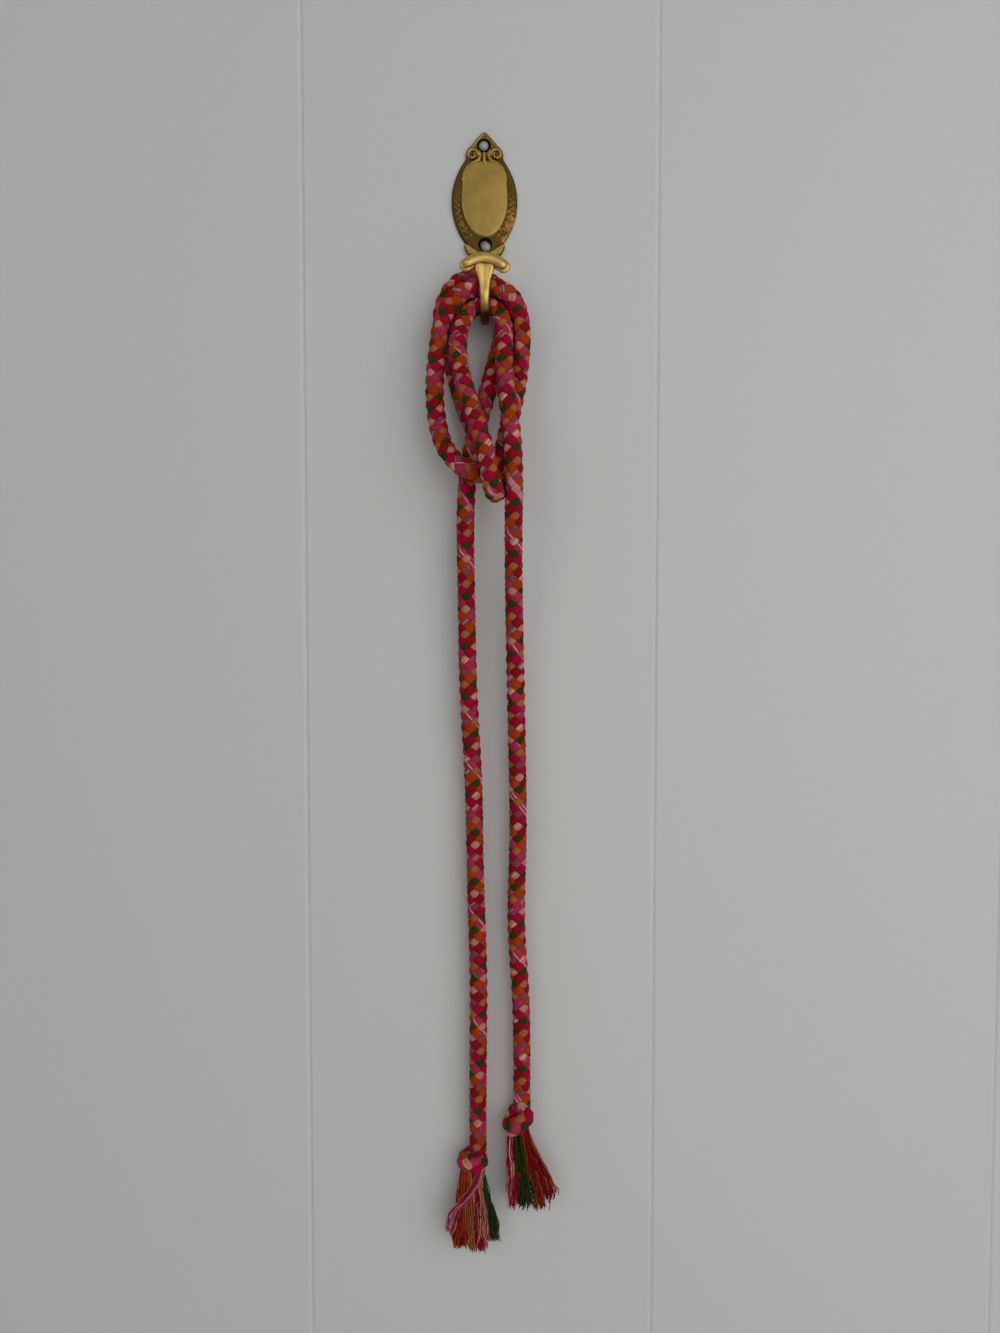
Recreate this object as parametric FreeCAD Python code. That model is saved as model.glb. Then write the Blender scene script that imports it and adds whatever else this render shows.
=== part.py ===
"""Braided tie cord hitched on a cast brass wall hook.

The row frame is in millimetres: +X to the right, +Y into the wall, +Z up.
The wall's surface is the plane Y = 0, and the origin lies on the plate's back,
between the two nails that hold it.
"""
import FreeCAD
import Part

import math
import os

Vector = FreeCAD.Vector

# Plate of the hook: a lens of two arcs under a pointed cap
PLATE_THICK = 1.6
LENS_RADIUS = 28.3
LENS_HALF_WIDTH = 13.8
LENS_MIDDLE_Z = -3.3
LENS_TOP_Z = 13.6
LENS_BOTTOM_Z = -19.9
CAP_TIP_Z = 25.3
CAP_SIDE = (5.3, 20.4)
CAP_SCROLL = (7.7, 17.4)
CAP_FOOT = (8.2, 14.2)
PANEL_HALF_WIDTH = 9.5
PANEL_HALF_HEIGHT = 15.0
PANEL_MIDDLE_Z = -2.3
PANEL_RISE = 0.7

# Leaf-shaped wings and the neck that joins the plate to the hook
WING = ((-7.2, -20.2), (-8.6, -21.6), (-8.0, -23.4), (-6.7, -25.3), (-2.0, -27.0), (-2.0, -20.0))
WING_THICK = 2.2
NECK_RADIUS = 4.4

# Nails and the stepped holes that they sit in
UPPER_HOLE = (-0.2, 19.5)
LOWER_HOLE = (0.3, -21.0)
RECESS_RADIUS = 2.9
RECESS_DEPTH = 1.1
PILOT_RADIUS = 1.9
UPPER_NAIL = (-0.3, 19.7)
LOWER_NAIL = (0.6, -21.8)
NAIL_HEAD_RADIUS = 2.0
NAIL_HEAD_RISE = 1.1
NAIL_RADIUS = 0.8
NAIL_NECK_RADIUS = 1.0
NAIL_FREE_LENGTH = 22.0
NAIL_POINT = 3.0

# J-shaped hook of flat bar, with a drooping bar across its tip
BAR_THICK = 2.2
BAR_HALF_WIDTH = 1.7
HOOK_INNER_RADIUS = 8.6
HOOK_CENTRE_Z = -45.8
HOOK_CENTRE_X = 0.3
STEM_TOP_Z = -22.0
ARM_TOP_Z = -34.5
ARM_OUTLINE = ((1.7, -50.5), (2.3, -44.5), (2.6, -40.3), (4.4, -37.8), (4.4, -34.5))
TIP_BAR_RADIUS = 2.3
TIP_BAR_LEFT = (-8.2, -36.4)
TIP_BAR_TOP = (0.4, -33.5)
TIP_BAR_RIGHT = (8.9, -37.0)
TIP_BAR_Y = -20.4

# Cord of eight strands
CORD_DIAMETER = 7.4
BEND_SHARE = 0.45
ROUTE = (
    # left tail, from its knot up to the hitch
    (-3.0, -7.0, -407.5),
    (-3.0, -7.0, -370.0),
    (-2.5, -7.0, -332.0),
    (-4.0, -7.0, -291.0),
    (-4.5, -7.5, -248.0),
    (-7.0, -8.5, -208.0),
    (-7.5, -9.5, -172.0),
    (-8.0, -11.0, -144.0),
    (-7.5, -11.5, -126.0),
    (-6.5, -12.0, -113.5),
    (-3.0, -12.0, -99.5),
    (1.5, -12.0, -84.5),
    (5.5, -9.0, -69.0),
    # first pass over the hook, next to the stem
    (8.5, -4.4, -56.0),
    (7.5, -6.0, -42.5),
    (-1.0, -7.3, -35.5),
    (-10.5, -6.5, -37.5),
    (-17.0, -5.5, -45.5),
    (-18.5, -4.5, -57.5),
    (-13.5, -4.0, -70.0),
    (-10.5, -4.0, -84.0),
    (-5.0, -4.0, -98.5),
    # behind the left tail, round its right side and back in front of it
    (0.5, -4.0, -106.5),
    (2.8, -8.0, -111.0),
    (2.2, -13.5, -116.5),
    (-0.8, -18.0, -119.5),
    (-5.8, -20.5, -118.8),
    (-11.5, -20.0, -114.5),
    (-16.5, -17.5, -108.0),
    (-19.5, -16.0, -97.0),
    (-20.5, -15.5, -83.0),
    (-19.0, -15.0, -69.0),
    (-17.5, -15.0, -57.0),
    (-12.5, -15.0, -47.5),
    # second pass over the hook
    (-4.0, -15.0, -42.0),
    (5.0, -15.0, -42.0),
    (13.0, -15.0, -46.8),
    (16.7, -14.0, -57.0),
    (16.5, -12.5, -72.0),
    (14.5, -12.5, -86.0),
    (11.5, -13.5, -98.5),
    (9.0, -16.5, -108.0),
    (8.2, -18.3, -116.0),
    # lowest fold, and up again as the front strand
    (7.2, -18.6, -123.8),
    (5.2, -22.3, -127.6),
    (3.8, -27.3, -127.6),
    (3.0, -31.0, -123.5),
    (1.2, -30.5, -112.5),
    (-4.0, -27.0, -96.5),
    (-9.0, -23.0, -81.0),
    (-11.0, -17.5, -67.0),
    (-9.2, -14.0, -56.0),
    # third pass, in the bottom of the hook
    (-4.0, -11.5, -49.5),
    (4.0, -11.5, -49.0),
    (8.3, -14.0, -55.5),
    (8.0, -18.0, -68.5),
    (9.0, -20.5, -83.0),
    (12.0, -24.0, -100.0),
    (13.5, -25.5, -115.5),
    (13.0, -23.5, -130.0),
    # right tail, down to its knot
    (12.0, -17.0, -149.0),
    (12.5, -11.5, -180.0),
    (13.5, -8.5, -222.0),
    (14.5, -7.5, -268.0),
    (13.0, -7.0, -308.0),
    (15.5, -7.0, -338.0),
    (16.0, -7.0, -365.0),
    (16.0, -7.0, -388.5),
)

# Overhand knots, as barrels: centre X and Y, top Z, height
KNOT_RADIUS = 6.7
KNOT_END_RADIUS = 6.1
LEFT_KNOT = (-5.0, -7.4, -407.5, 10.2)
RIGHT_KNOT = (14.4, -7.4, -388.5, 12.4)

# The eight strands come apart below each knot, in two rows of four
STRAND_TOP_RADIUS = 1.2
STRAND_TOP_PITCH = 2.75
STRAND_ROW_PITCH = 6.2
LEFT_STRANDS = (
    # name, column 0 to 3 from the left, row 0 in front or 1 behind
    ("orange", 0, 0), ("tan", 1, 0), ("pink", 2, 0), ("green", 3, 0),
    ("red", 0, 1), ("cream", 1, 1), ("magenta", 2, 1), ("mauve", 3, 1),
)
RIGHT_STRANDS = (
    ("magenta", 0, 0), ("green", 1, 0), ("orange", 2, 0), ("tan", 3, 0),
    ("pink", 0, 1), ("red", 1, 1), ("cream", 2, 1), ("mauve", 3, 1),
)
# where each column ends: X, Z and radius
LEFT_COLUMNS = ((-14.2, -444.0, 2.9), (-7.9, -450.0, 2.9), (-1.6, -450.0, 2.9), (4.7, -446.0, 2.9))
RIGHT_COLUMNS = ((11.5, -426.0, 2.5), (18.0, -434.0, 2.9), (24.2, -433.0, 2.9), (29.8, -424.0, 2.4))


def flat(points, thick):
    """A plate of the given outline in X and Z, from the wall's plane out to -thick."""
    corners = [Vector(x, 0, z) for x, z in points]
    outline = Part.makePolygon(corners + corners[:1])
    return Part.Face(outline).extrude(Vector(0, -thick, 0))


def plug(place, radius, front, back):
    """A round bar along Y, centred on place, from Y = front to Y = back."""
    return Part.makeCylinder(radius, back - front, Vector(place[0], front, place[1]), Vector(0, 1, 0))


def lens_point(z):
    """The right edge of the lens at height z."""
    return Vector(LENS_HALF_WIDTH - LENS_RADIUS + math.sqrt(LENS_RADIUS**2 - (z - LENS_MIDDLE_Z)**2), 0, z)


def mirrored(point):
    return Vector(-point.x, point.y, point.z)


def plate():
    """The lens and its cap, with the raised oval panel."""
    right = [Vector(0, 0, CAP_TIP_Z), Vector(CAP_SIDE[0], 0, CAP_SIDE[1]), Vector(CAP_FOOT[0], 0, CAP_FOOT[1]),
             lens_point(LENS_TOP_Z), lens_point(LENS_BOTTOM_Z)]
    scroll = Vector(CAP_SCROLL[0], 0, CAP_SCROLL[1])
    side = lens_point(LENS_MIDDLE_Z)
    half = [
        Part.LineSegment(right[0], right[1]),
        Part.Arc(right[1], scroll, right[2]),
        Part.LineSegment(right[2], right[3]),
        Part.Arc(right[3], side, right[4]),
    ]
    other = [
        Part.LineSegment(mirrored(right[0]), mirrored(right[1])),
        Part.Arc(mirrored(right[1]), mirrored(scroll), mirrored(right[2])),
        Part.LineSegment(mirrored(right[2]), mirrored(right[3])),
        Part.Arc(mirrored(right[3]), mirrored(side), mirrored(right[4])),
    ]
    bottom = Part.LineSegment(right[4], mirrored(right[4]))
    edges = [curve.toShape() for curve in half + [bottom] + other[::-1]]
    outline = Part.Wire(Part.__sortEdges__(edges))
    base = Part.Face(outline).extrude(Vector(0, -PLATE_THICK, 0))
    oval = Part.Ellipse(Vector(0, 0, PANEL_MIDDLE_Z + PANEL_HALF_HEIGHT), Vector(PANEL_HALF_WIDTH, 0, PANEL_MIDDLE_Z),
                        Vector(0, 0, PANEL_MIDDLE_Z))
    panel = Part.Face(Part.Wire(oval.toShape())).extrude(Vector(0, -PLATE_THICK - PANEL_RISE, 0))
    return base.fuse(panel)


def wings():
    """The two leaves under the lens and the round neck between them."""
    left = flat(WING, WING_THICK)
    right = flat([(-x, z) for x, z in WING], WING_THICK)
    neck = plug(LOWER_HOLE, NECK_RADIUS, -WING_THICK, 0)
    return left.fuse([right, neck])


def hook():
    """The flat bar that runs down the wall, round and up, and widens under its tip."""
    middle_y = -BAR_THICK - HOOK_INNER_RADIUS
    inner, outer = HOOK_INNER_RADIUS, HOOK_INNER_RADIUS + BAR_THICK
    side = HOOK_CENTRE_X - BAR_HALF_WIDTH
    centre = Vector(side, middle_y, HOOK_CENTRE_Z)

    def at(radius, z):
        return centre + Vector(0, radius, z - HOOK_CENTRE_Z)

    edges = [
        Part.LineSegment(at(outer, STEM_TOP_Z), at(outer, HOOK_CENTRE_Z)),
        Part.Arc(at(outer, HOOK_CENTRE_Z), centre - Vector(0, 0, outer), at(-outer, HOOK_CENTRE_Z)),
        Part.LineSegment(at(-outer, HOOK_CENTRE_Z), at(-outer, ARM_TOP_Z)),
        Part.LineSegment(at(-outer, ARM_TOP_Z), at(-inner, ARM_TOP_Z)),
        Part.LineSegment(at(-inner, ARM_TOP_Z), at(-inner, HOOK_CENTRE_Z)),
        Part.Arc(at(-inner, HOOK_CENTRE_Z), centre - Vector(0, 0, inner), at(inner, HOOK_CENTRE_Z)),
        Part.LineSegment(at(inner, HOOK_CENTRE_Z), at(inner, STEM_TOP_Z)),
        Part.LineSegment(at(inner, STEM_TOP_Z), at(outer, STEM_TOP_Z)),
    ]
    bar = Part.Face(Part.Wire([edge.toShape() for edge in edges])).extrude(Vector(2 * BAR_HALF_WIDTH, 0, 0))
    right = [(HOOK_CENTRE_X + x, z) for x, z in ARM_OUTLINE]
    left = [(HOOK_CENTRE_X - x, z) for x, z in ARM_OUTLINE]
    arm = flat(right + left[::-1], BAR_THICK)
    arm.translate(Vector(0, middle_y - HOOK_INNER_RADIUS, 0))
    return bar.fuse(arm)


def tip_bar():
    """The round bar across the tip: an arc that droops at both ends."""
    ends = [Vector(x, TIP_BAR_Y, z) for x, z in (TIP_BAR_LEFT, TIP_BAR_TOP, TIP_BAR_RIGHT)]
    path = Part.Wire(Part.Arc(*ends).toShape())
    along = path.Edges[0].tangentAt(path.Edges[0].FirstParameter)
    ring = Part.Wire(Part.makeCircle(TIP_BAR_RADIUS, ends[0], along))
    bar = path.makePipeShell([ring], True, False)
    return bar.fuse([Part.makeSphere(TIP_BAR_RADIUS, ends[0]), Part.makeSphere(TIP_BAR_RADIUS, ends[2])])


def wall_hook():
    """The whole casting, with the two stepped holes cut through it."""
    casting = plate().fuse([wings(), hook(), tip_bar()])
    for place in (UPPER_HOLE, LOWER_HOLE):
        casting = casting.cut(plug(place, PILOT_RADIUS, -PLATE_THICK - 2, 1))
        casting = casting.cut(plug(place, RECESS_RADIUS, -PLATE_THICK - 2, -RECESS_DEPTH))
    return casting.removeSplitter()


def nail(place):
    """A round-headed nail: head on the recess's floor, tapered neck in the plate, shank and point."""
    ahead = Vector(0, 1, 0)
    straight = NAIL_FREE_LENGTH - NAIL_POINT
    neck = Part.makeCone(NAIL_NECK_RADIUS, NAIL_RADIUS, RECESS_DEPTH, Vector(0, -RECESS_DEPTH, 0), ahead)
    shank = Part.makeCylinder(NAIL_RADIUS, straight, Vector(0, 0, 0), ahead)
    point = Part.makeCone(NAIL_RADIUS, 0, NAIL_POINT, Vector(0, straight, 0), ahead)
    dome_radius = (NAIL_HEAD_RADIUS**2 + NAIL_HEAD_RISE**2) / (2 * NAIL_HEAD_RISE)
    ball = Part.makeSphere(dome_radius, Vector(0, dome_radius - RECESS_DEPTH - NAIL_HEAD_RISE, 0))
    cap = Part.makeCylinder(NAIL_HEAD_RADIUS, NAIL_HEAD_RISE + 1, Vector(0, -RECESS_DEPTH, 0), Vector(0, -1, 0))
    whole = shank.fuse([neck, point, ball.common(cap)]).removeSplitter()
    whole.translate(Vector(place[0], 0, place[1]))
    return whole


def route_path(points):
    """Straight runs joined by tangent arcs, and the arcs' radii."""
    corners = [Vector(*point) for point in points]
    edges = []
    radii = []
    start = corners[0]
    for before, corner, after in zip(corners, corners[1:], corners[2:]):
        back = (before - corner).normalize()
        ahead = (after - corner).normalize()
        reach = BEND_SHARE * min(before.distanceToPoint(corner), after.distanceToPoint(corner))
        turn = math.pi - back.getAngle(ahead)
        radius = reach / math.tan(turn / 2)
        inward = (back + ahead).normalize()
        apex = corner + inward * (radius / math.cos(turn / 2) - radius)
        enter = corner + back * reach
        leave = corner + ahead * reach
        edges.append(Part.LineSegment(start, enter).toShape())
        edges.append(Part.Arc(enter, apex, leave).toShape())
        radii.append(radius)
        start = leave
    edges.append(Part.LineSegment(start, corners[-1]).toShape())
    return Part.Wire(edges), radii


def cord():
    """The braided cord, as a plain tube."""
    path, radii = route_path(ROUTE)
    along = Vector(*ROUTE[1]) - Vector(*ROUTE[0])
    ring = Part.Wire(Part.makeCircle(CORD_DIAMETER / 2, Vector(*ROUTE[0]), along))
    tube = path.makePipeShell([ring], True, False)
    section = math.pi * CORD_DIAMETER**2 / 4
    print("cord length %.1f, tightest radii %s" % (path.Length, [round(r, 1) for r in sorted(radii)[:10]]))
    print("volume / (section x length) %.4f, valid %s" % (tube.Volume / section / path.Length, tube.isValid()))
    return tube


def knot(place):
    """A barrel with flat ends, where the cord and the loose strands meet it."""
    x, y, top, height = place
    bottom = top - height
    profile = Part.Wire([
        Part.LineSegment(Vector(0, 0, top), Vector(KNOT_END_RADIUS, 0, top)).toShape(),
        Part.Arc(Vector(KNOT_END_RADIUS, 0, top), Vector(KNOT_RADIUS, 0, top - height / 2),
                 Vector(KNOT_END_RADIUS, 0, bottom)).toShape(),
        Part.LineSegment(Vector(KNOT_END_RADIUS, 0, bottom), Vector(0, 0, bottom)).toShape(),
        Part.LineSegment(Vector(0, 0, bottom), Vector(0, 0, top)).toShape(),
    ])
    barrel = Part.Face(profile).revolve(Vector(0, 0, 0), Vector(0, 0, 1), 360)
    barrel.translate(Vector(x, y, 0))
    return barrel


def loose_strand(place, column, row, end):
    """One strand's frayed end: a cone that spreads from the knot's underside."""
    x, y, top, height = place
    end_x, end_z, end_radius = end
    side = 0.5 if row else -0.5
    start = Vector(x + (column - 1.5) * STRAND_TOP_PITCH, y + side * STRAND_TOP_PITCH, top - height)
    finish = Vector(end_x, y + side * STRAND_ROW_PITCH, end_z)
    rings = [
        Part.Wire(Part.makeCircle(STRAND_TOP_RADIUS, start, Vector(0, 0, 1))),
        Part.Wire(Part.makeCircle(end_radius, finish, Vector(0, 0, 1))),
    ]
    return Part.makeLoft(rings, True, True)


def main():
    shapes = {
        "wall_hook": wall_hook(),
        "upper_nail": nail(UPPER_NAIL),
        "lower_nail": nail(LOWER_NAIL),
        "cord": cord(),
        "left_knot": knot(LEFT_KNOT),
        "right_knot": knot(RIGHT_KNOT),
    }
    for name, column, row in LEFT_STRANDS:
        shapes["left_end_" + name] = loose_strand(LEFT_KNOT, column, row, LEFT_COLUMNS[column])
    for name, column, row in RIGHT_STRANDS:
        shapes["right_end_" + name] = loose_strand(RIGHT_KNOT, column, row, RIGHT_COLUMNS[column])
    os.makedirs("parts", exist_ok=True)
    for name, shape in shapes.items():
        shape.exportStep("parts/" + name + ".step")
        print("%-18s solids %d valid %s volume %.1f" % (name, len(shape.Solids), shape.isValid(), shape.Volume))


main()
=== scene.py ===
"""Looks of a braided tie cord hitched over its brass wall hook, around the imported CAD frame.

Everything is in metres in the frame of the CAD model: +X right, +Y into the wall, +Z up.
"""
import math
import random

import bmesh
import bpy
import numpy as np
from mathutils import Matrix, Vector


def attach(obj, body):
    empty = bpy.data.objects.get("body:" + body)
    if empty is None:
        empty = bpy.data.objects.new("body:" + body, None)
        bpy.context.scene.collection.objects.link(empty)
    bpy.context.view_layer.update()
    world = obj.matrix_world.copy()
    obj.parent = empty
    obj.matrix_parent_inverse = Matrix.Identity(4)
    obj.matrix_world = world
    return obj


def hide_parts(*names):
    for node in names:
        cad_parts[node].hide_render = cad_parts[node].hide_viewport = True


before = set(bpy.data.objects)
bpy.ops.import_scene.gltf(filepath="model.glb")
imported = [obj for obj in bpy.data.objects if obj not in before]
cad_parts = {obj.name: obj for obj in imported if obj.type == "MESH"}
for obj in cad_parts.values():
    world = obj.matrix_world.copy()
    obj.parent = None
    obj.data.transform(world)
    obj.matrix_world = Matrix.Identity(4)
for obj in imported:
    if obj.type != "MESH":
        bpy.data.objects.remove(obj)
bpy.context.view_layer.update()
scene = bpy.context.scene
MM = 0.001
FULL_TURN = 2 * math.pi

# Colours as linear albedo, one per strand of the cord
YARN_COLOURS = {
    "orange": (0.47, 0.048, 0.003),
    "pink": (0.48, 0.024, 0.072),
    "magenta": (0.44, 0.001, 0.038),
    "red": (0.31, 0.005, 0.011),
    "cream": (0.62, 0.235, 0.155),
    "green": (0.024, 0.056, 0.005),
    "tan": (0.47, 0.138, 0.044),
    "mauve": (0.30, 0.055, 0.072),
}
# Each set of four strands turns one way round the cord, in this order along it
LEFT_HANDED = ("orange", "pink", "magenta", "red")
RIGHT_HANDED = ("cream", "green", "tan", "mauve")
# The colour of the pale yarns in a strand, and their share of it
YARN_PALE = {"pink": (0.68, 0.30, 0.31), "mauve": (0.52, 0.25, 0.27), "cream": (0.75, 0.42, 0.33)}
PALE_SHARE = {"pink": 0.17, "mauve": 0.17, "cream": 0.15}

# The darker and the lighter patches of each finish. The bright brass of the arm and bar is a lighter copy of
# the satin panel's brass, partly for their polish and partly as painted highlight
BRASS_BRIGHT = ((0.62, 0.40, 0.105), (0.80, 0.55, 0.17))
BRASS_SATIN = ((0.36, 0.24, 0.058), (0.46, 0.31, 0.082))
# BRASS_BROWN is the border's patina, and also painted shade under the J
BRASS_BROWN = ((0.036, 0.017, 0.003), (0.092, 0.048, 0.009))
STEEL = ((0.34, 0.34, 0.33), (0.50, 0.50, 0.49))
PAINT = ((0.640, 0.640, 0.615), (0.665, 0.665, 0.640))
# BRASS_HOLLOW is patina in the hollows, and painted shade there
BRASS_HOLLOW = (0.075, 0.026, 0.008)
# near black: painted shade in the nail recesses
PAINTED_RECESS_SHADE = (0.010, 0.007, 0.005)
# COPPER is worn-through colour, and also painted reddish highlight
COPPER = (0.72, 0.30, 0.11)

# The cord. A lead is the length in which a strand goes once round it
CORD_DIAMETER = 7.4 * MM
TAIL_LEAD = 21.0 * MM
HITCH_LEAD = 19.6 * MM
KNOT_LEAD = 21.0 * MM
ROUTE = (
    # left tail, from its knot up to the hitch
    (-0.0030, -0.0070, -0.4075),
    (-0.0030, -0.0070, -0.3700),
    (-0.0025, -0.0070, -0.3320),
    (-0.0040, -0.0070, -0.2910),
    (-0.0045, -0.0075, -0.2480),
    (-0.0070, -0.0085, -0.2080),
    (-0.0075, -0.0095, -0.1720),
    (-0.0080, -0.0110, -0.1440),
    (-0.0075, -0.0115, -0.1260),
    (-0.0065, -0.0120, -0.1135),
    (-0.0030, -0.0120, -0.0995),
    (0.0015, -0.0120, -0.0845),
    (0.0055, -0.0090, -0.0690),
    # first pass over the hook, next to the stem
    (0.0085, -0.0044, -0.0560),
    (0.0075, -0.0060, -0.0425),
    (-0.0010, -0.0073, -0.0355),
    (-0.0105, -0.0065, -0.0375),
    (-0.0170, -0.0055, -0.0455),
    (-0.0185, -0.0045, -0.0575),
    (-0.0135, -0.0040, -0.0700),
    (-0.0105, -0.0040, -0.0840),
    (-0.0050, -0.0040, -0.0985),
    # behind the left tail, round its right side and back in front of it
    (0.0005, -0.0040, -0.1065),
    (0.0028, -0.0080, -0.1110),
    (0.0022, -0.0135, -0.1165),
    (-0.0008, -0.0180, -0.1195),
    (-0.0058, -0.0205, -0.1188),
    (-0.0115, -0.0200, -0.1145),
    (-0.0165, -0.0175, -0.1080),
    (-0.0195, -0.0160, -0.0970),
    (-0.0205, -0.0155, -0.0830),
    (-0.0190, -0.0150, -0.0690),
    (-0.0175, -0.0150, -0.0570),
    (-0.0125, -0.0150, -0.0475),
    # second pass over the hook
    (-0.0040, -0.0150, -0.0424),
    (0.0050, -0.0150, -0.0425),
    (0.0122, -0.0150, -0.0470),
    (0.0156, -0.0140, -0.0570),
    (0.0152, -0.0125, -0.0720),
    (0.0130, -0.0125, -0.0860),
    (0.0102, -0.0135, -0.0985),
    (0.0080, -0.0165, -0.1080),
    (0.0082, -0.0183, -0.1160),
    # lowest fold, and up again as the front strand
    (0.0072, -0.0186, -0.1238),
    (0.0052, -0.0223, -0.1276),
    (0.0038, -0.0273, -0.1276),
    (0.0030, -0.0310, -0.1235),
    (0.0012, -0.0305, -0.1125),
    (-0.0040, -0.0270, -0.0965),
    (-0.0090, -0.0230, -0.0810),
    (-0.0110, -0.0175, -0.0670),
    (-0.0092, -0.0140, -0.0560),
    # third pass, in the bottom of the hook
    (-0.0040, -0.0115, -0.0492),
    (0.0040, -0.0115, -0.0488),
    (0.0083, -0.0140, -0.0555),
    (0.0080, -0.0180, -0.0685),
    (0.0086, -0.0205, -0.0830),
    (0.0110, -0.0240, -0.1000),
    (0.0121, -0.0255, -0.1155),
    (0.0121, -0.0235, -0.1300),
    # right tail, down to its knot
    (0.0120, -0.0170, -0.1490),
    (0.0125, -0.0115, -0.1800),
    (0.0135, -0.0085, -0.2220),
    (0.0145, -0.0075, -0.2680),
    (0.0130, -0.0070, -0.3080),
    (0.0155, -0.0070, -0.3380),
    (0.0160, -0.0070, -0.3650),
    (0.0160, -0.0070, -0.3885),
)
HITCH_START = 0.275      # where the hitch starts and ends along the cord, in metres
HITCH_END = 0.800
HITCH_EASE = 0.060       # how far the lead takes to change
CORD_TURN = 0.6          # how far round the braid starts
CORD_STEP = 0.65 * MM
KNOT_STEP = 0.6 * MM
SPLINE_STEPS = 24

# The braid, as shares of the cord's diameter
STRAND_SIDES = 12
STRAND_RISE = 0.085      # how far a strand goes out and in as it weaves
STRAND_MIDDLE = 0.290    # mean distance of a strand from the cord's centre
STRAND_SIZES = {-1: (0.288, 0.165), 1: (0.222, 0.150)}    # half width and thickness of each set's strands
COLUMN_TWIST = 2.2       # turns a metre that the columns make round the cord

# Yarns side by side round a strand, how many of them it turns by in a metre, and the lightness of the
# darkest and the lightest. Loose yarns have plies instead, and differ more
BRAID_YARNS = 17
BRAID_LAY = 150.0
BRAID_SHADES = (0.86, 1.06)
YARN_PLIES = 2
PLY_LAY = 900.0
YARN_SHADES = (0.78, 1.65)

# Each knot: its side, its middle, the cord's turns about that middle in mm, the cord's diameter there,
# and how far round the braid starts
KNOTS = (
    ("left", (-5.2 * MM, -7.4 * MM, -412.2 * MM), (
        (2.2, 0.4, 5.2), (1.4, 1.6, 3.6), (-0.8, 2.8, 1.4), (-3.3, 1.2, 0.5), (-3.3, -2.4, 0.5),
        (-0.2, -3.7, 0.0), (3.1, -2.4, -0.2), (3.4, 0.8, -0.2), (1.4, 2.8, -0.8), (-0.6, 1.4, -2.2),
        (-0.4, -0.6, -4.0)), 6.9 * MM, 0.05),
    ("right", (14.4 * MM, -7.4 * MM, -394.5 * MM), (
        (1.6, 0.4, 6.4), (0.8, 2.0, 4.6), (-1.8, 2.6, 1.0), (-3.3, 0.6, -1.7), (-2.7, -2.6, -2.3),
        (0.2, -3.6, -0.1), (2.8, -2.6, 2.2), (3.3, 0.4, 2.3), (2.2, 2.6, 0.2), (0.2, 2.0, -2.6),
        (-0.6, 0.0, -4.6)), 7.3 * MM, 0.80),
)

# The loose yarns
YARN_RADIUS = 0.21 * MM
YARN_POINTS = 30
YARN_SIDES = 5
STRAND_TOP = 1.5 * MM    # half width of a strand where its yarns leave the knot
YARN_TUCK = 2.4 * MM     # how far its yarns start inside the knot
CLUMP = 6                # yarns that hang together
CLUMP_SPREAD = 0.24
CLUMP_SWING = (0.9 * MM, 0.7 * MM)
YARN_SWING = 0.4 * MM
YARN_BULGE = (1.4 * MM, 0.8 * MM)
FIRST_PULL = 0.38        # of the fall: how far the yarn's curve keeps its first and last direction
LAST_PULL = 0.36
WALL_GAP = 0.8 * MM
TASSEL_SEED = 8
# In mm: strand, start, end, half width and half depth of the patch it fans out to, and yarns
LEFT_BUNDLES = (
    ("orange", (-8.6, -9.0, -415.6), (-10.8, -10.6, -448.0), 3.8, 1.2, 60),
    ("tan", (-6.4, -8.2, -415.6), (-5.4, -9.4, -450.2), 3.6, 1.6, 36),
    ("pink", (-1.6, -9.4, -415.6), (-15.6, -12.8, -441.4), 1.5, 0.7, 18),
    ("green", (-1.3, -8.2, -415.6), (4.9, -9.4, -445.6), 2.4, 2.0, 54),
    ("red", (-8.9, -8.0, -415.6), (-10.6, -9.8, -448.4), 3.6, 1.6, 60),
    ("cream", (-3.0, -8.8, -415.6), (-1.6, -10.6, -449.4), 2.4, 1.2, 24),
    ("magenta", (-3.6, -8.4, -415.6), (-0.8, -9.8, -450.2), 2.5, 1.6, 60),
    ("mauve", (-2.6, -6.6, -415.6), (0.4, -8.2, -447.0), 3.4, 2.0, 36),
)
RIGHT_BUNDLES = (
    ("magenta", (11.0, -9.0, -398.6), (12.0, -9.8, -429.8), 1.9, 1.6, 54),
    ("green", (14.6, -9.4, -398.6), (19.4, -9.8, -431.2), 4.4, 1.5, 60),
    ("orange", (15.6, -8.6, -398.6), (21.8, -10.0, -431.6), 5.4, 1.4, 54),
    ("tan", (17.4, -8.2, -398.6), (27.4, -9.6, -426.4), 4.4, 1.6, 24),
    ("pink", (10.4, -8.6, -398.6), (11.4, -9.4, -430.2), 2.7, 1.6, 42),
    ("red", (17.2, -8.8, -398.6), (26.6, -10.2, -427.0), 4.2, 1.4, 60),
    ("cream", (10.6, -9.2, -398.6), (11.2, -10.4, -430.2), 2.4, 1.0, 24),
    ("mauve", (12.6, -7.0, -398.6), (15.6, -7.6, -431.0), 3.0, 1.8, 36),
)

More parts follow.
